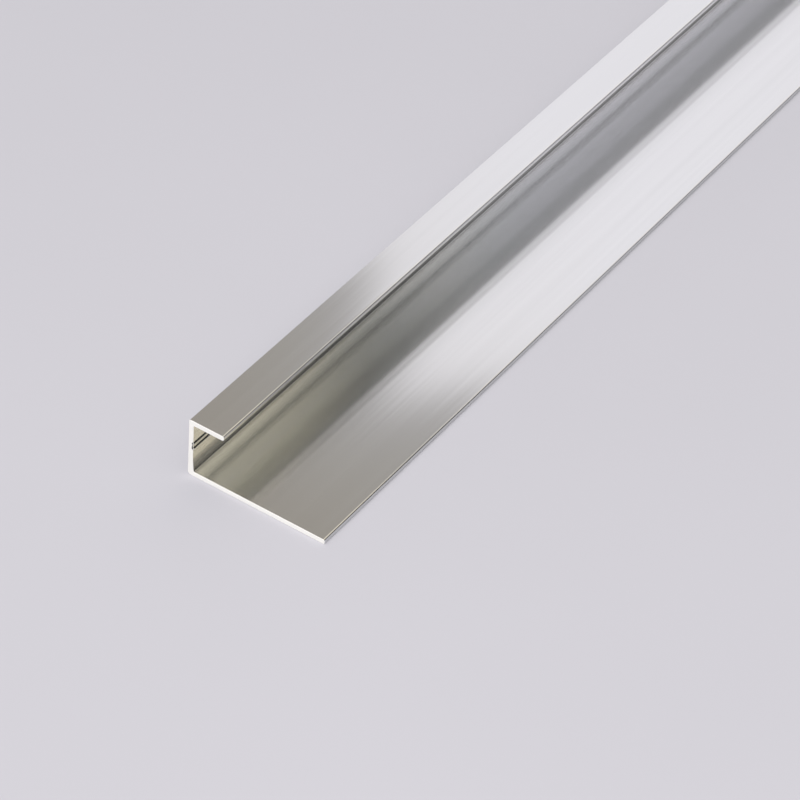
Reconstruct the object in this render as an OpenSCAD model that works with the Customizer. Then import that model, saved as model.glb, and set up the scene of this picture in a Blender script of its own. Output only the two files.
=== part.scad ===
// Aluminium edge trim for a wall panel, extruded in one piece.
// Its section is a J: a wide base leg, an upright web and a short lip over the panel's edge.
// The section lies across X and Z, and the stock runs along Y. Sizes are in millimetres.
// The origin is on the floor, under the middle of the piece.

/* [Stock] */
// Length that the stock is cut to
stock_length = 1000; // [200:10:3000]

/* [Walls] */
// Width of the base leg, from the web's outer face to its free edge
base_width = 28; // [16:0.5:50]
// Thickness of the base leg
base_wall = 0.95; // [0.8:0.05:2]
// Thickness of the web above its foot
web_wall = 0.95; // [0.8:0.05:2]
// Width of the lip, from the web's outer face to its free edge
lip_width = 7.1; // [4:0.1:12]
// Thickness of the lip
lip_wall = 1; // [0.8:0.05:2]

/* [Panel channel] */
// Thickness of the panel that slides in between the base leg and the lip
panel_thickness = 10; // [6:0.5:20]
// Room left over in the channel, so that the panel slides
panel_clearance = 0.15; // [0:0.05:1]
// Radius of the fillets along the two inner corners
fillet_radius = 0.2; // [0.1:0.05:0.6]

/* [Web foot] */
// How much thicker the web has become where it meets the base leg
foot_spread = 0.25; // [0.05:0.05:0.5]
// Height above the base leg at which the web starts to thicken
foot_rise = 4.4; // [2:0.1:5]

/* [Edges] */
// Radius of the outer corner between the web and the base leg
corner_radius = 0.6; // [0.2:0.05:0.8]
// Radius of the outer corner between the web and the lip
top_corner_radius = 0.3; // [0.1:0.05:0.8]
// Radius of the arrises along the free edges of the base leg and the lip
arris_radius = 0.35; // [0.1:0.05:0.35]
// Radius of the arris below the base leg's free edge, which lies on the wall
wall_arris_radius = 0.1; // [0.05:0.05:0.35]

/* [Adhesive grooves] */
// Width of each groove at the face of the web
groove_width = 0.55; // [0.2:0.05:0.6]
// Depth of each groove into the web
groove_depth = 0.25; // [0.1:0.05:0.4]
// Distance between the middles of the two grooves
groove_spacing = 1.1; // [0.8:0.1:2]
// Height of the pair's middle above half the channel's height
groove_rise = 0.55; // [-1:0.05:1]

/* [Hidden] */
$fn = 64;
// Sides of the foot's wide circle, of which only a short arc is used
foot_circle_sides = 1080;

channel_height = panel_thickness + panel_clearance;
lip_underside = base_wall + channel_height;
height = lip_underside + lip_wall;
groove_middle = base_wall + channel_height / 2 + groove_rise;

// How far an arc runs into the face that it blends with, so that the two cross cleanly
blend_overlap = 0.001;
// The foot's face is an arc that leaves the web's face at the foot's top
foot_radius = (foot_rise * foot_rise + foot_spread * foot_spread) / (2 * foot_spread);
foot_centre = [web_wall + foot_radius - blend_overlap, base_wall + foot_rise];
// The fillet lies inside that arc and blends it into the base leg
fillet_reach = foot_radius - fillet_radius + blend_overlap;
fillet_lean = asin((foot_rise - fillet_radius) / fillet_reach);
fillet_centre = [foot_centre.x - fillet_reach * cos(fillet_lean), base_wall + fillet_radius];
fillet_top = fillet_radius * (1 - sin(fillet_lean));

// What lies between a square corner at the origin and an arc that touches both its sides
module corner_spandrel(radius) {
    difference() {
        square(radius);
        translate([radius, radius]) circle(radius);
    }
}

// A flat leg from the origin along +X, with the lower and the upper arris of its free edge rounded
module leg(width, wall, lower_radius) {
    difference() {
        square([width, wall]);
        translate([width, 0]) rotate(90) corner_spandrel(lower_radius);
        translate([width, wall]) rotate(180) corner_spandrel(arris_radius);
    }
}

// A V that cuts into a wall on its left, with its sides carried on past the wall's face
module groove() {
    polygon([[-groove_depth, 0], [groove_depth, -groove_width], [groove_depth, groove_width]]);
}

// The web's thicker foot, with the fillet between it and the base leg
module foot() {
    difference() {
        translate([web_wall, base_wall]) square([foot_spread, foot_rise]);
        translate(foot_centre) circle(foot_radius, $fn = foot_circle_sides);
    }
    difference() {
        translate([web_wall, base_wall]) square([fillet_centre.x - web_wall, fillet_top]);
        translate(fillet_centre) circle(fillet_radius);
    }
}

// The J with sharp outer corners and filleted inner ones
module walls() {
    leg(base_width, base_wall, wall_arris_radius);
    square([web_wall, height]);
    translate([0, lip_underside]) leg(lip_width, lip_wall, arris_radius);
    foot();
    translate([web_wall, lip_underside]) rotate(-90) corner_spandrel(fillet_radius);
}

module section() {
    difference() {
        walls();
        corner_spandrel(corner_radius);
        translate([0, height]) rotate(-90) corner_spandrel(top_corner_radius);
        for (side = [-1, 1])
            translate([web_wall, groove_middle + side * groove_spacing / 2]) groove();
    }
}

module j_profile() {
    color([0.78, 0.78, 0.77])
        translate([-base_width / 2, stock_length / 2, 0])
            rotate([90, 0, 0])
                linear_extrude(stock_length) section();
}

j_profile();
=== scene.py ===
# %% [markdown]
# # A length of aluminium edge trim
# The real piece is one extrusion: aluminium pushed hot through a steel die, stretched straight and sawn
# off. Its section is a J. A wide base leg lies on the wall, an upright web stops the panel's edge, and
# a short lip covers that edge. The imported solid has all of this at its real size. This script makes the
# surface that the camera sees, with the drawn finish and the sawn ends, and sets it on a pale table
# under soft light.

# %% Load the solid and read its size
import math

import bpy
import numpy as np
from mathutils import Matrix, Vector


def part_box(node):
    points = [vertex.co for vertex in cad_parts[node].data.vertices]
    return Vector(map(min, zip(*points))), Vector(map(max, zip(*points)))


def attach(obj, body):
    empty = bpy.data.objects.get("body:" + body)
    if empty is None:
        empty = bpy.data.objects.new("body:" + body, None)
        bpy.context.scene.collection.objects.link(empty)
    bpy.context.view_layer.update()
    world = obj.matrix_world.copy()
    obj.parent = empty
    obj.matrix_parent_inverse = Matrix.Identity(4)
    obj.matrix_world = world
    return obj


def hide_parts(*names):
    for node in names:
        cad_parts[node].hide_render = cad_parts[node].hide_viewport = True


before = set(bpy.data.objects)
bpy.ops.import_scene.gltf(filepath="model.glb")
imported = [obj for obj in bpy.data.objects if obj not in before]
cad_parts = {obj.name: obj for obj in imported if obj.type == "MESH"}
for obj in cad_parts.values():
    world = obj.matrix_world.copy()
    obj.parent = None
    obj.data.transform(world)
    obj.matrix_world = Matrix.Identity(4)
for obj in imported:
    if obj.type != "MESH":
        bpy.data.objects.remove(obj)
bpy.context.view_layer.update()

MM = 0.001
low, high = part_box("j_profile")
base_width, stock_length, height = high - low
print(f"solid: {base_width / MM:.1f} mm wide, {stock_length / MM:.0f} mm long, {height / MM:.1f} mm high")

# %% [markdown]
# ## The camera
# The photograph looks down on the sawn end from the right, through a long lens. Lines drawn along the
# sawn end and the long edges give its place: the camera that puts them within about a pixel of the
# picture. It is kept here as a person would note it on the set: how far the lens is from the near
# corner, which way it points, how much the camera leans, and the lens. A long lens keeps the edges
# nearly parallel, as in the picture.

# %% Set up the camera
IMAGE_SIDE = 800
FOCAL_PIXELS = 3500
SENSOR_MM = 36.0
NEAREST_DRAWN = 10 * MM
NEAR_CORNER = Vector((low.x, low.y, low.z))
LENS_FROM_CORNER = Vector((251.6, -349.4, 399.15)) * MM
LOOK_AZIMUTH = math.radians(31.17)
LOOK_ELEVATION = math.radians(41.45)
CAMERA_LEAN = math.radians(-4.66)


def camera_axes(azimuth, elevation, lean):
    """Right, up and back directions of a camera at this azimuth and elevation from what it looks at.

    Right is level before the lean, and up is square to right and back. The lean then turns right and up
    about the line of sight."""
    back = Vector((math.sin(azimuth) * math.cos(elevation),
                   -math.cos(azimuth) * math.cos(elevation),
                   math.sin(elevation)))
    right = Vector((0, 0, 1)).cross(back).normalized()
    up = back.cross(right)
    turned_right = math.cos(lean) * right - math.sin(lean) * up
    turned_up = math.sin(lean) * right + math.cos(lean) * up
    return turned_right, turned_up, back


lens = bpy.data.cameras.new("product_lens")
lens.sensor_width = SENSOR_MM
lens.lens = SENSOR_MM * FOCAL_PIXELS / IMAGE_SIDE
lens.clip_start = NEAREST_DRAWN
camera = bpy.data.objects.new("product_camera", lens)
axes = Matrix(camera_axes(LOOK_AZIMUTH, LOOK_ELEVATION, CAMERA_LEAN)).transposed().to_4x4()
camera.matrix_world = Matrix.Translation(NEAR_CORNER + LENS_FROM_CORNER) @ axes
bpy.context.scene.collection.objects.link(camera)
bpy.context.scene.camera = camera
print(f"camera: {lens.lens:.1f} mm lens, {LENS_FROM_CORNER.length / MM:.0f} mm from the near corner")

# %% [markdown]
# ## The J section
# An extrusion is drawn as one closed outline, and every corner of a real die has a radius. So the
# outline is a list of the few corners that a draughtsman would dimension, each with its radius. The web
# thickens towards its foot along a very wide arc, and two fine V grooves run along its inner face.

# %% List the section's corners
BASE_WALL = 0.95 * MM
WEB_WALL = 0.95 * MM
LIP_WALL = 1.0 * MM
LIP_WIDTH = 7.1 * MM
CORNER_RADIUS = 0.6 * MM
TOP_CORNER_RADIUS = 0.3 * MM
FILLET_RADIUS = 0.2 * MM
ARRIS_RADIUS = 0.35 * MM
WALL_ARRIS_RADIUS = 0.1 * MM
FOOT_SPREAD = 0.25 * MM
FOOT_HEIGHT = 2.2 * MM
FOOT_RADIUS = 35 * MM
GROOVE_WIDTH = 0.55 * MM
GROOVE_DEPTH = 0.25 * MM
GROOVE_SPACING = 1.1 * MM
GROOVE_RISE = 0.55 * MM
GROOVE_EDGE_RADIUS = 0.04 * MM


def groove_corners(middle):
    """Mouth, bottom and mouth of one V groove in the web's inner face, going up."""
    half = GROOVE_WIDTH / 2
    return [(WEB_WALL, middle - half), (WEB_WALL - GROOVE_DEPTH, middle), (WEB_WALL, middle + half)]


def section_corners():
    """Corners of the J, counter-clockwise seen from the near end, and the radius of each.

    X runs from the web's outer face and Z from the floor. The groove pair sits a set rise above half the
    channel's height."""
    lip_underside = height - LIP_WALL
    middle = (BASE_WALL + lip_underside) / 2 + GROOVE_RISE
    grooves = groove_corners(middle - GROOVE_SPACING / 2) + groove_corners(middle + GROOVE_SPACING / 2)
    corners = [(0, 0), (base_width, 0), (base_width, BASE_WALL)]
    corners += [(WEB_WALL + FOOT_SPREAD, BASE_WALL), (WEB_WALL, BASE_WALL + FOOT_HEIGHT)]
    corners += grooves
    corners += [(WEB_WALL, lip_underside), (LIP_WIDTH, lip_underside), (LIP_WIDTH, height), (0, height)]
    radii = [CORNER_RADIUS, WALL_ARRIS_RADIUS, ARRIS_RADIUS, FILLET_RADIUS, FOOT_RADIUS]
    radii += [GROOVE_EDGE_RADIUS] * len(grooves)
    radii += [FILLET_RADIUS, ARRIS_RADIUS, ARRIS_RADIUS, TOP_CORNER_RADIUS]
    return np.array(corners), np.array(radii)


corners, radii = section_corners()
print(f"section: {len(corners)} corners, radii from {radii.min() / MM:.2f} to {radii.max() / MM:.0f} mm")

# %% [markdown]
# Each corner now becomes an arc. A chain of straight edges with a Bevel modifier would look alike from
# afar, but arcs worked out by formula also give the exact surface normals, and a bright metal shows the
# smallest error in those. The flats between the arcs are stepped too, so that the finish can change
# from one die line to the next.

# %% Round the corners
ARC_STEPS = 8
FLAT_STEP = 0.4 * MM


def rounded_outline(corners, radii, steps):
    """Closed outline through counter-clockwise corners, each rounded to an arc, with its outward normals.

    With unit directions a into a corner and b out of it, the turn is the angle from a to b, positive where
    the outline is convex. The arc starts radius * tan(turn / 2) before the corner. Its centre lies one radius
    to the inner side of that start, or to the outer side at a concave corner, and its points are the centre
    plus the radius times the side's normal, swung through the turn."""
    into = corners - np.roll(corners, 1, axis=0)
    into = into / np.linalg.norm(into, axis=1, keepdims=True)
    out = np.roll(into, -1, axis=0)
    turn = np.arctan2(into[:, 0] * out[:, 1] - into[:, 1] * out[:, 0], (into * out).sum(axis=1))
    signed = radii * np.sign(turn)
    start = corners - into * (radii * np.tan(np.abs(turn) / 2))[:, None]
    side_normal = np.stack([into[:, 1], -into[:, 0]], axis=1)
    centre = start - side_normal * signed[:, None]
    first = np.arctan2(side_normal[:, 1], side_normal[:, 0])
    swing = first[:, None] + turn[:, None] * np.linspace(0, 1, steps + 1)
    normals = np.stack([np.cos(swing), np.sin(swing)], axis=-1)
    points = centre[:, None, :] + signed[:, None, None] * normals
    return points.reshape(-1, 2), normals.reshape(-1, 2)


def stepped_flats(points, normals, step):
    """The same outline with extra points, evenly spaced, wherever two neighbours lie more than a step apart.

    A new normal is blended from those of the two neighbours by its share of the way, and made unit length."""
    gaps = np.roll(points, -1, axis=0) - points
    parts = np.maximum(np.ceil(np.linalg.norm(gaps, axis=1) / step).astype(int), 1)
    start = np.repeat(np.arange(len(points)), parts)
    share = (np.arange(parts.sum()) - np.repeat(np.cumsum(parts) - parts, parts)) / parts[start]
    bent = normals[start] * (1 - share)[:, None] + np.roll(normals, -1, axis=0)[start] * share[:, None]
    return points[start] + gaps[start] * share[:, None], bent / np.linalg.norm(bent, axis=1, keepdims=True)


outline, outline_normals = rounded_outline(corners, radii, ARC_STEPS)
outline, outline_normals = stepped_flats(outline, outline_normals, FLAT_STEP)
section_size = np.ptp(outline, axis=0) / MM
print(f"outline: {len(outline)} points, {section_size[0]:.2f} by {section_size[1]:.2f} mm")

# %% [markdown]
# ## The length of stock
# Carrying the outline along Y gives the whole piece: one grid of points, stations along the length by
# points around the section. A curve with a bevel object could do the same, but would hide where each
# point lies. The saw leaves a hair of a bevel where the ends are wiped clean, so the first and last
# stations are drawn in by that much. A third station at each end marks how far the saw's burr reaches
# into the grooves.

# %% Carry the section along the stock
END_BEVEL = 0.05 * MM
BURR_LENGTH = 0.35 * MM
STATION_COUNT = 121


def stock_grid(points, normals, stations, bevel):
    """Grid of the stock: point (i, j) is outline point j at station i, drawn in by the bevel at both ends.

    Returns the points in one list, and the quads as stations by outline points. Each quad is four point
    numbers: this outline point and the next, at this station and the next."""
    count = len(points)
    inset = np.zeros(len(stations))
    inset[[0, -1]] = bevel
    section = points[None] - normals[None] * inset[:, None, None]
    lengthwise = np.broadcast_to(stations[:, None, None], (len(stations), count, 1))
    vertices = np.concatenate([section[..., :1], lengthwise, section[..., 1:]], axis=-1)
    here = np.arange(count)
    ahead = np.roll(here, -1)
    ring = np.stack([here, here + count, ahead + count, ahead], axis=-1)
    quads = ring[None] + (np.arange(len(stations) - 1) * count)[:, None, None]
    return vertices.reshape(-1, 3), quads


inner_stations = np.linspace(low.y + BURR_LENGTH, high.y - BURR_LENGTH, STATION_COUNT)
stations = np.concatenate([[low.y, low.y + END_BEVEL], inner_stations, [high.y - END_BEVEL, high.y]])
vertices, quads = stock_grid(outline + np.array([low.x, low.z]), outline_normals, stations, END_BEVEL)
print(f"stock: {len(vertices)} points at {len(stations)} stations")

# %% [markdown]
# ## The wave and the die lines
# Stock that has been stretched straight still waves a little, and each scratch in the die draws a line
# of its own along the whole length. Both are far too shallow to model as shape, but a mirror shows
# them: edges in the reflection bend and fray. So they go into the normals, which are written with the
# mesh. That also keeps smooth shading from bending the light on the wide flats towards their rounded
# edges.

# %% Lay the wave and the die lines
WAVE_SLOPE = 0.005
WAVE_ACROSS = 31 * MM
WAVE_ALONG = 180 * MM
WAVE_CREST = 40 * MM
LINE_SLOPE = 0.0006
LINE_LEAN = 0.009
LINE_TURN = 90 * MM
LINE_SEED = 7


def drawn_normals(normals, vertices, quads):
    """Unit normal at each corner of each quad: the outline's own normal, with the wave and the die lines.

    The wave tips it along Y by the slope times a cosine across the base leg times a cosine along the stock.
    A die line runs through each outline point. It leans the normal about Y by an angle of its own, and tips
    it along Y by a share of the cosine plus a share of the sine of the way along. On the two bevels the
    normal is tipped half way to the sawn end instead."""
    here = np.arange(len(normals))
    ahead = np.roll(here, -1)
    line = np.stack([here, here, ahead, ahead], axis=-1)
    draws = np.random.default_rng(LINE_SEED)
    tips = draws.normal(0, LINE_SLOPE, (2, len(normals)))[:, line]
    leans = draws.normal(0, LINE_LEAN, len(normals))[line]
    place_across, place_along = vertices[quads, 0], vertices[quads, 1]
    crest_across = np.cos(2 * np.pi * (place_across - low.x) / WAVE_ACROSS)
    crest_along = np.cos(2 * np.pi * (place_along - low.y - WAVE_CREST) / WAVE_ALONG)
    turn = 2 * np.pi * place_along / LINE_TURN
    tipped = tips[0] * np.cos(turn) + tips[1] * np.sin(turn) - WAVE_SLOPE * crest_across * crest_along
    tipped[0] = -1
    tipped[-1] = 1
    across, up = normals[line, 0], normals[line, 1]
    leaned_across = np.broadcast_to(across - leans * up, tipped.shape)
    leaned_up = np.broadcast_to(up + leans * across, tipped.shape)
    ruffled = np.stack([leaned_across, tipped, leaned_up], axis=-1)
    return ruffled / np.linalg.norm(ruffled, axis=-1, keepdims=True)


quad_normals = drawn_normals(outline_normals, vertices, quads)
print(f"normals: {quads.size} face corners, the steepest wave is {math.degrees(WAVE_SLOPE):.2f} degrees")

# %% [markdown]
# ## The mesh
# The two sawn ends close the grid. Each end is one flat face on its ring of points. A grid of quads
# would be needed only if the ends were curved.

# %% Close the ends and make the mesh
PIECE_NAME = "drawn_profile"
NEAR_NORMAL = (0.0, -1.0, 0.0)
FAR_NORMAL = (0.0, 1.0, 0.0)


def end_rings(point_count, ring_count):
    """Point numbers around the near end, then backwards around the far end: both faces look outward."""
    near = np.arange(ring_count)
    far = np.arange(point_count - ring_count, point_count)[::-1]
    return np.concatenate([near, far])


def closed_mesh(name, vertices, quads, rings):
    """Mesh of the side quads and the two end faces, smooth all over, since its normals are written next."""
    loops = np.concatenate([quads.ravel(), rings])
    end_starts = [quads.size, quads.size + len(rings) // 2]
    starts = np.concatenate([np.arange(0, quads.size, quads.shape[-1]), end_starts])
    mesh = bpy.data.meshes.new(name)
    mesh.vertices.add(len(vertices))
    mesh.vertices.foreach_set("co", vertices.ravel())
    mesh.loops.add(len(loops))
    mesh.loops.foreach_set("vertex_index", loops)
    mesh.polygons.add(len(starts))
    mesh.polygons.foreach_set("loop_start", starts)
    mesh.update(calc_edges=True)
    mesh.validate()
    mesh.polygons.foreach_set("use_smooth", np.ones(len(starts), bool))
    return mesh


rings = end_rings(len(vertices), len(outline))
mesh = closed_mesh(PIECE_NAME, vertices, quads, rings)
end_normals = np.repeat([NEAR_NORMAL, FAR_NORMAL], len(outline), axis=0)
mesh.normals_split_custom_set(np.concatenate([quad_normals.reshape(-1, 3), end_normals]).tolist())
profile = bpy.data.objects.new(PIECE_NAME, mesh)
bpy.context.scene.collection.objects.link(profile)
print(f"mesh: {len(mesh.polygons)} faces, {len(mesh.vertices)} vertices")

# %% [markdown]
# A map of the surface goes with the mesh: its first direction runs around the section and its second
# along the stock. The drawn finish needs that map to know which way the die lines run. Unwrapping by
# hand would give the same map, but here both distances are known already.

# %% Map the surface
DIE_MAP = "die_lines"


def walked_length(points):
    """Distance walked around the outline from its first point to each point, and last all the way round."""
    steps = np.linalg.norm(np.roll(points, -1, axis=0) - points, axis=1)
    return np.concatenate([[0.0], np.cumsum(steps)])


def die_line_map(points, vertices, quads, rings):
    """Place of every face corner in the map, in metres: the way around the section by the way along.

    The end faces lie in it as they are seen from the front, by X and Z."""
    walked = walked_length(points)
    around = np.stack([walked[:-1], walked[:-1], walked[1:], walked[1:]], axis=-1)
    sides = np.stack([np.broadcast_to(around, quads.shape), vertices[quads, 1]], axis=-1)
    return np.concatenate([sides.reshape(-1, 2), vertices[rings][:, [0, 2]]])


surface_map = die_line_map(outline, vertices, quads, rings)
mesh.uv_layers.new(name=DIE_MAP).data.foreach_set("uv", surface_map.ravel())
print(f"map: {np.ptp(surface_map[:, 0]) / MM:.1f} mm around the section")

# %% [markdown]
# ## Painted shade and burr
# Shade is painted into the metal's colour where its reflections go dark: deep in the grooves, low in the
# web's inner corner, and along the base leg's free edge. It is written as one number a point, which the
# finish reads. A mask in an image would do as well, but the places follow from the section. The painted
# shade is left off the first two and last two stations. At the ends the saw leaves a bright burr in the
# mouths of the grooves, so the faces there get the sawn finish.

# %% Mark the painted shade and the sawn faces
# Painted shade: it darkens the metal deep in the grooves, low in the inner corner and on the free edge.
PAINTED_SHADE = "painted_shade"
PAINTED_SHADE_LEVEL = 0.5
CORNER_PAINTED_SHADE = 0.5
CORNER_PAINTED_SHADE_STARTS = 0.7 * FILLET_RADIUS
CORNER_PAINTED_SHADE_RISE = 1.5 * MM
EDGE_PAINTED_SHADE = 0.22
EDGE_SHADE_BAND = 0.2 * ARRIS_RADIUS
DRAWN, SAWN = 0, 1


def groove_share(points):
    """How deep each outline point lies in a groove: its depth below the web's face over the groove's own."""
    across, up = points[:, 0], points[:, 1]
    on_web = (up > BASE_WALL + FOOT_HEIGHT) & (up < height - LIP_WALL) & (across > WEB_WALL / 2)
    return on_web * np.clip((WEB_WALL - across) / GROOVE_DEPTH, 0, 1)


def painted_shade_share(points):
    """Share of painted shade at each outline point.

    In a groove it is the share of the depth over the painted shade's level, up to 1. In the inner corner it
    falls off evenly with the height above the base leg. On the free edge it is even."""
    across, up = points[:, 0], points[:, 1]
    in_groove = np.clip(groove_share(points) / PAINTED_SHADE_LEVEL, 0, 1)
    beside_web = (across > WEB_WALL) & (across < WEB_WALL + FOOT_SPREAD + FILLET_RADIUS)
    corner = beside_web & (up > BASE_WALL + CORNER_PAINTED_SHADE_STARTS)
    in_corner = corner * CORNER_PAINTED_SHADE * np.clip(1 - (up - BASE_WALL) / CORNER_PAINTED_SHADE_RISE, 0, 1)
    on_edge = (across > base_width - EDGE_SHADE_BAND) * EDGE_PAINTED_SHADE
    return in_groove + in_corner + on_edge


def side_finishes(points, shape):
    """Finish of each side quad: sawn on the two bevels, and in the grooves as far as the burr reaches."""
    in_groove = groove_share(points) > 0
    finishes = np.full(shape, DRAWN)
    finishes[[0, -1]] = SAWN
    finishes[[1, -2]] = np.where(in_groove | np.roll(in_groove, -1), SAWN, DRAWN)
    return finishes


# The painted shade is left off the first two and last two stations.
shaded_stations = np.ones(len(stations))
shaded_stations[[0, 1, -2, -1]] = 0
painted_shade = np.outer(shaded_stations, painted_shade_share(outline))
mesh.attributes.new(PAINTED_SHADE, "FLOAT", "POINT").data.foreach_set("value", painted_shade.ravel())
finishes = np.append(side_finishes(outline, quads.shape[:2]), [SAWN, SAWN])
mesh.polygons.foreach_set("material_index", finishes)
print(f"grease: {np.count_nonzero(painted_shade)} points, sawn: {np.count_nonzero(finishes == SAWN)} faces")

# %% [markdown]
# ## Wiring a finish
# Finishes are small networks of shader nodes. They could be drawn in the shader editor, but four helpers
# make them short to write and easy to read: one starts a material, one gives an input either a plain
# value or the output of another node, one adds a node with its inputs, and one blends two colours.

# %% Make the wiring helpers
MIX_SHARE, MIX_FIRST, MIX_SECOND = 0, 6, 7
MIX_RESULT = 2


def new_material(name):
    """A node material and its Principled shader, ready to be wired."""
    material = bpy.data.materials.new(name)
    material.use_nodes = True
    return material, material.node_tree.nodes["Principled BSDF"]


def set_input(owner, socket, value):
    """Links a socket to another node's output, or sets it to a plain value."""
    if isinstance(value, bpy.types.NodeSocket):
        owner.node_tree.links.new(value, socket)
    else:
        socket.default_value = value


def add_node(owner, kind, settings=None, **inputs):
    """Adds a node to a material or world, sets its properties, and sets or links its inputs by name."""
    node = owner.node_tree.nodes.new(kind)
    for name, value in (settings or {}).items():
        setattr(node, name, value)
    for name, value in inputs.items():
        set_input(owner, node.inputs[name.replace("_", " ")], value)
    return node


def blend(owner, share, first, second):
    """Colour that goes from the first to the second as the share goes from 0 to 1.

    The Mix node has sockets for every kind of value, so those for colours are found by number."""
    mix = add_node(owner, "ShaderNodeMix", {"data_type": "RGBA"})
    set_input(owner, mix.inputs[MIX_SHARE], share)
    set_input(owner, mix.inputs[MIX_FIRST], first)
    set_input(owner, mix.inputs[MIX_SECOND], second)
    return mix.outputs[MIX_RESULT]


print("wiring: helpers ready")

# %% [markdown]
# ## The drawn finish
# The die leaves fine lines along the whole length. Along the lines the metal is nearly a mirror, and
# across them it scatters, so reflections smear sideways and stay sharp lengthwise. Principled has a
# setting for this, with the map's direction as its tangent. Two noises stretched along Y give the
# streaks: broad ones shift the tone of the metal a little, and hair-fine ones vary its roughness and
# ruffle the surface by less than a micron.

# %% Make the drawn aluminium
ALUMINIUM_LIGHT = (0.885, 0.898, 0.899, 1)
ALUMINIUM_DARK = (0.815, 0.828, 0.829, 1)
# Dark brown that the painted shade blends the metal's colour towards.
PAINTED_SHADE_COLOUR = (0.10, 0.078, 0.045, 1)
STREAK_CONTRAST = (0.15, 0.85)
DRAWN_ROUGHNESS = (0.10, 0.14)
DRAWN_ANISOTROPY = 0.95
BROAD_STREAKS = (420, 3, 420)
BROAD_DETAIL = 4.0
FINE_STREAKS = (5200, 14, 5200)
FINE_DETAIL = 3.0
FINE_DEPTH = 0.0008 * MM
STREAK_GRAIN = 0.6


def streaks(material, cells_per_metre, detail):
    """Noise stretched along Y: so many cells in each metre of X, Y and Z of the object."""
    place = add_node(material, "ShaderNodeTexCoord").outputs["Object"]
    stretched = add_node(material, "ShaderNodeMapping", Vector=place, Scale=cells_per_metre)
    noise = add_node(
        material, "ShaderNodeTexNoise",
        Vector=stretched.outputs["Vector"], Scale=1.0, Detail=detail, Roughness=STREAK_GRAIN,
    )
    return noise.outputs["Fac"]


def spread(material, value, lowest, highest):
    """The value's range from 0 to 1, moved to the range from the lowest to the highest."""
    moved = add_node(material, "ShaderNodeMapRange", Value=value, To_Min=lowest, To_Max=highest)
    return moved.outputs["Result"]


def drawn_aluminium():
    """Bright metal with a sideways smear, streaked along the length, and darkened by the painted shade."""
    material, metal = new_material("drawn_aluminium")
    weakest, strongest = STREAK_CONTRAST
    broad = add_node(
        material, "ShaderNodeMapRange",
        Value=streaks(material, BROAD_STREAKS, BROAD_DETAIL), From_Min=weakest, From_Max=strongest,
    ).outputs["Result"]
    fine = streaks(material, FINE_STREAKS, FINE_DETAIL)
    unshaded = blend(material, broad, ALUMINIUM_DARK, ALUMINIUM_LIGHT)
    # Painted shade: the metal's colour goes towards the dark brown where the shade attribute is set.
    shade_share = add_node(material, "ShaderNodeAttribute", {"attribute_name": PAINTED_SHADE}).outputs["Fac"]
    ruffle = add_node(material, "ShaderNodeBump", Strength=1.0, Distance=FINE_DEPTH, Height=fine)
    lines = add_node(material, "ShaderNodeTangent", {"direction_type": "UV_MAP", "uv_map": DIE_MAP})
    set_input(material, metal.inputs["Base Color"], blend(material, shade_share, unshaded, PAINTED_SHADE_COLOUR))
    set_input(material, metal.inputs["Roughness"], spread(material, fine, *DRAWN_ROUGHNESS))
    set_input(material, metal.inputs["Normal"], ruffle.outputs["Normal"])
    set_input(material, metal.inputs["Tangent"], lines.outputs["Tangent"])
    metal.inputs["Metallic"].default_value = 1.0
    metal.inputs["Anisotropic"].default_value = DRAWN_ANISOTROPY
    return material


mesh.materials.append(drawn_aluminium())
print(f"finish: {mesh.materials[DRAWN].name}, {len(mesh.materials[DRAWN].node_tree.nodes)} nodes")

# %% [markdown]
# ## The sawn ends
# A circular blade leaves the cut end bright and matt, with faint arcs where the teeth passed. In the
# picture it is the whitest thing on the piece. Rings around the blade's centre, far off to one side of
# the section, make the arcs. A rough surface, pale and only partly metallic, stands for the torn grain
# between them, which scatters light to all sides as a clean metal wouldn't.

# %% Make the sawn aluminium
SAWN_COLOUR = (0.915, 0.897, 0.852, 1)
SAWN_ROUGHNESS = (0.52, 0.62)
SAWN_METAL_SHARE = 0.25
BLADE_CENTRE = (-60 * MM, 0.0, 90 * MM)
TOOTH_SPACING = 1.9635 * MM
TOOTH_WANDER = 2.0
TOOTH_DETAIL = 3.0
TOOTH_DEPTH = 0.004 * MM
RING_RADIANS = 20


def sawn_aluminium():
    """Pale, rough metal with arcs about the blade's centre.

    At scale 1 the wave texture turns through a set angle in each metre, so its scale is a whole turn over
    that angle and the spacing of the arcs."""
    material, metal = new_material("sawn_aluminium")
    place = add_node(material, "ShaderNodeTexCoord").outputs["Object"]
    from_blade = [-offset for offset in BLADE_CENTRE]
    about_blade = add_node(material, "ShaderNodeMapping", Vector=place, Location=from_blade)
    arcs = add_node(
        material, "ShaderNodeTexWave", {"wave_type": "RINGS", "rings_direction": "Y"},
        Vector=about_blade.outputs["Vector"], Scale=2 * math.pi / (RING_RADIANS * TOOTH_SPACING),
        Distortion=TOOTH_WANDER, Detail=TOOTH_DETAIL,
    ).outputs["Fac"]
    marks = add_node(material, "ShaderNodeBump", Strength=1.0, Distance=TOOTH_DEPTH, Height=arcs)
    set_input(material, metal.inputs["Normal"], marks.outputs["Normal"])
    set_input(material, metal.inputs["Roughness"], spread(material, arcs, *SAWN_ROUGHNESS))
    metal.inputs["Base Color"].default_value = SAWN_COLOUR
    metal.inputs["Metallic"].default_value = SAWN_METAL_SHARE
    return material


mesh.materials.append(sawn_aluminium())
print(f"finish: {mesh.materials[SAWN].name}, arcs {TOOTH_SPACING / MM:.2f} mm apart")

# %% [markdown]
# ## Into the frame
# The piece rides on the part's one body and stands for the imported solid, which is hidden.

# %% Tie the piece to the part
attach(profile, "root")
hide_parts("j_profile")
print(f"frame: {profile.name} rides on root")

# %% [markdown]
# ## The table
# The piece lies on a pale, slightly cool sheet of paper. The sheet is far larger than the piece, so
# that no view sees its edge, and a faint mottle keeps it from looking like a flat fill. Light falls off
# across a real table. A small lamp would give that too, but would also show in the metal, so the paper
# itself gets a shade darker away from the camera's side, over more than a metre.

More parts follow.
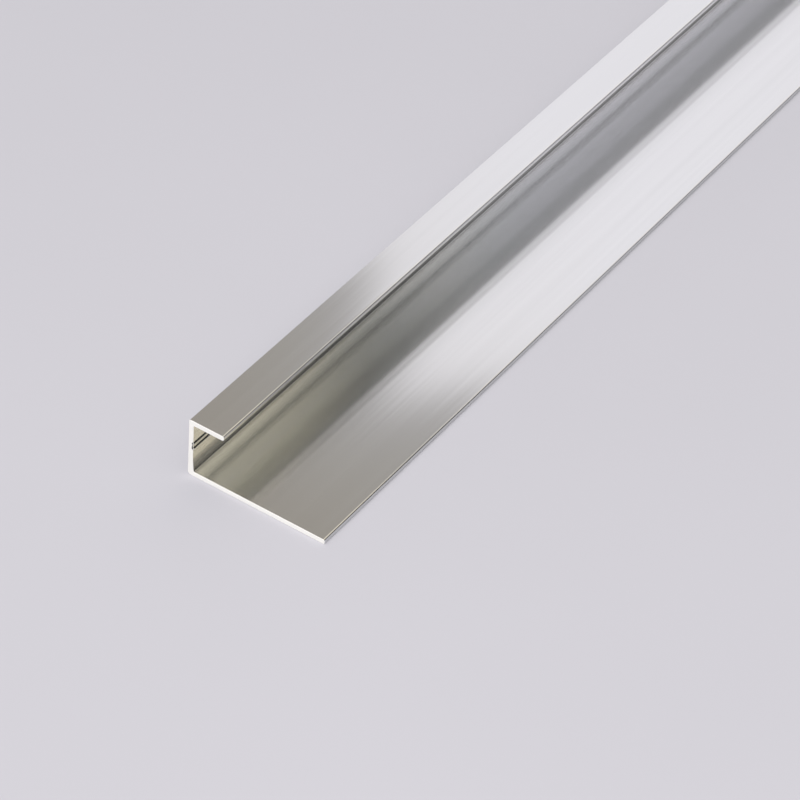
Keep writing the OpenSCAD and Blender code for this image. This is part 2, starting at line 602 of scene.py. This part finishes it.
# %% Lay the table
TABLE_SIDE = 16.0
TABLE_DROP = 0.02 * MM
PAPER_NEAR = (0.696, 0.682, 0.726, 1)
# The far tone is the paper under a painted fall-off of light, away from the camera's side.
PAPER_FAR = (0.498, 0.488, 0.520, 1)
PAPER_AWAY = (-0.52, 0.855, 0.0)
PAPER_FALL = (-1.0, 0.25)
PAPER_ROUGHNESS = 0.9
PAPER_GLOSS = 0.1
MOTTLE_SHARE = 0.15
MOTTLES_PER_METRE = 9.0
MOTTLE_DETAIL = 3.0


def table_mesh():
    """One square face just below the floor, as wide as the table's side."""
    half = TABLE_SIDE / 2
    square = np.array([(-half, -half), (half, -half), (half, half), (-half, half)])
    table_top = np.insert(square, 2, -TABLE_DROP, axis=1)
    sheet = bpy.data.meshes.new("table")
    sheet.from_pydata(table_top.tolist(), [], [(0, 1, 2, 3)])
    return sheet


def along(owner, vector, direction):
    """How far a place or a ray lies along a direction: their dot product."""
    product = add_node(owner, "ShaderNodeVectorMath", {"operation": "DOT_PRODUCT"})
    set_input(owner, product.inputs[0], vector)
    set_input(owner, product.inputs[1], direction)
    return product.outputs["Value"]


def soft_step(owner, value, starts, ends):
    """0 below the start and 1 above the end, with a smooth rise between."""
    step = add_node(
        owner, "ShaderNodeMapRange", {"interpolation_type": "SMOOTHSTEP"},
        Value=value, From_Min=starts, From_Max=ends,
    )
    return step.outputs["Result"]


def paper():
    """Matt paper: its share of the far tone is the soft fall away from the camera plus some mottle."""
    material, sheet = new_material("paper")
    place = add_node(material, "ShaderNodeTexCoord").outputs["Object"]
    mottle = add_node(
        material, "ShaderNodeTexNoise", Vector=place, Scale=MOTTLES_PER_METRE, Detail=MOTTLE_DETAIL,
    ).outputs["Fac"]
    # Painted light fall-off: the far tone's share rises softly away from the camera's side.
    fall = soft_step(material, along(material, place, PAPER_AWAY), *PAPER_FALL)
    far_share = add_node(material, "ShaderNodeMath", {"operation": "MULTIPLY_ADD"})
    for socket, value in zip(far_share.inputs, (mottle, MOTTLE_SHARE, fall)):
        set_input(material, socket, value)
    tone = blend(material, far_share.outputs["Value"], PAPER_NEAR, PAPER_FAR)
    set_input(material, sheet.inputs["Base Color"], tone)
    sheet.inputs["Roughness"].default_value = PAPER_ROUGHNESS
    sheet.inputs["Specular IOR Level"].default_value = PAPER_GLOSS
    return material


table = bpy.data.objects.new("table", table_mesh())
table.data.materials.append(paper())
bpy.context.scene.collection.objects.link(table)
print(f"table: {TABLE_SIDE:.0f} m square")

# %% [markdown]
# ## The room
# Bright metal shows the room around it, so the room is drawn with care. It could be built from cards
# and lamps, but a world whose colour depends on the ray's direction needs only a few tones. The further
# off a spot on the stock is, the more its mirrored ray runs along Y, so each wall behind the piece is a
# ramp of tones over that. The tops of the base leg and the lip mirror the left wall, which is dim and
# warm at first and then pale. The channel shows the right wall. Between the two a pale ceiling draws the
# thin bright lines along the arrises. Low on the right it is dark, with a dim doorway, and that makes
# the dark lines at the web's foot and the free edges. All the rest is a neutral room that gets lighter
# upwards, for the views from other sides.

# %% Paint the room
TO_THE_RIGHT = (1, 0, 0)
TO_THE_BACK = (0, 1, 0)
UPWARD = (0, 0, 1)
LEFT_TONES = (
    (0.60, (0.346, 0.314, 0.277, 1)),
    (0.628, (0.382, 0.360, 0.338, 1)),
    (0.643, (0.406, 0.386, 0.384, 1)),
    (0.656, (0.875, 0.845, 0.872, 1)),
    (0.70, (0.899, 0.874, 0.915, 1)),
)
RIGHT_TONES = (
    (0.60, (0.92, 0.81, 0.61, 1)),
    (0.615, (0.89, 0.78, 0.60, 1)),
    (0.627, (0.13, 0.12, 0.125, 1)),
    (0.639, (0.45, 0.43, 0.405, 1)),
    (0.654, (0.79, 0.725, 0.69, 1)),
    (0.685, (0.82, 0.785, 0.82, 1)),
    (0.70, (0.92, 0.855, 0.92, 1)),
)
CEILING = (0.95, 0.90, 0.80, 1)
CEILING_STARTS = (-0.20, -0.08)
CEILING_ENDS = (0.10, 0.20)
DARK_TONES = (
    (0.60, (0.030, 0.026, 0.020, 1)),
    (0.645, (0.035, 0.032, 0.028, 1)),
    (0.69, (0.26, 0.255, 0.26, 1)),
)
DARK_SIDE = (0.793, 0, -0.609)
DARK_SIDE_STARTS = (-0.05, 0.05)
DOORWAY = (0.30, 0.30, 0.31, 1)
DOORWAY_STARTS = (0.11, 0.20)
DOORWAY_ENDS = (0.24, 0.34)
ROOM_TONES = (
    (0.0, (0.34, 0.34, 0.35, 1)),
    (0.45, (0.55, 0.55, 0.56, 1)),
    (1.0, (0.80, 0.80, 0.81, 1)),
)
BACK_STARTS = (0.50, 0.585)


def tones(world, value, stops):
    """Colour that passes through the stops, each a position and a colour, as the value rises."""
    ramp = add_node(world, "ShaderNodeValToRGB", Fac=value)
    elements = ramp.color_ramp.elements
    while len(elements) < len(stops):
        elements.new(1.0)
    for element, (position, colour) in zip(elements, stops):
        element.position = position
        element.color = colour
    return ramp.outputs["Color"]


def walls_behind(world, ray, back):
    """Left wall, ceiling and right wall in turn, and the dark side with its doorway low on the right.

    Each takes over from the one before by a soft step along its own direction."""
    sideways = along(world, ray, TO_THE_RIGHT)
    lowered = along(world, ray, DARK_SIDE)
    left, right = tones(world, back, LEFT_TONES), tones(world, back, RIGHT_TONES)
    dark = tones(world, back, DARK_TONES)
    walls = blend(world, soft_step(world, sideways, *CEILING_STARTS), left, CEILING)
    walls = blend(world, soft_step(world, sideways, *CEILING_ENDS), walls, right)
    dark_side = blend(world, soft_step(world, lowered, *DOORWAY_STARTS), dark, DOORWAY)
    dark_side = blend(world, soft_step(world, lowered, *DOORWAY_ENDS), dark_side, dark)
    return blend(world, soft_step(world, lowered, *DARK_SIDE_STARTS), walls, dark_side)


def studio_world():
    """World with a neutral room by height, which gives way to the walls behind the piece."""
    world = bpy.data.worlds.new("studio")
    world.use_nodes = True
    ray = add_node(world, "ShaderNodeTexCoord").outputs["Generated"]
    back = along(world, ray, TO_THE_BACK)
    room = tones(world, along(world, ray, UPWARD), ROOM_TONES)
    colour = blend(world, soft_step(world, back, *BACK_STARTS), room, walls_behind(world, ray, back))
    set_input(world, world.node_tree.nodes["Background"].inputs["Color"], colour)
    return world


bpy.context.scene.world = studio_world()
bpy.context.scene.view_settings.view_transform = "Standard"
print(f"room: {len(bpy.context.scene.world.node_tree.nodes)} nodes")

# %% [markdown]
# ## The front light
# The sawn end is white in the picture, so a light stands in front of it, along the stock. A sun with a
# wide angle lights the end and the table evenly, as a big window would, and the soft shadow it throws
# falls behind the piece. An area lamp would fall off with distance and show in the metal as a bright
# square.

# %% Set the front light
FRONT_LIGHT_FROM = Vector((0.05, -0.75, 0.66))
FRONT_LIGHT_STRENGTH = 2.1
FRONT_LIGHT_SPREAD = math.radians(50)

front = bpy.data.lights.new("front_light", "SUN")
front.energy = FRONT_LIGHT_STRENGTH
front.angle = FRONT_LIGHT_SPREAD
front_light = bpy.data.objects.new("front_light", front)
front_light.matrix_world = FRONT_LIGHT_FROM.to_track_quat("Z", "Y").to_matrix().to_4x4()
bpy.context.scene.collection.objects.link(front_light)
print(f"light: a sun {math.degrees(FRONT_LIGHT_SPREAD):.0f} degrees wide")
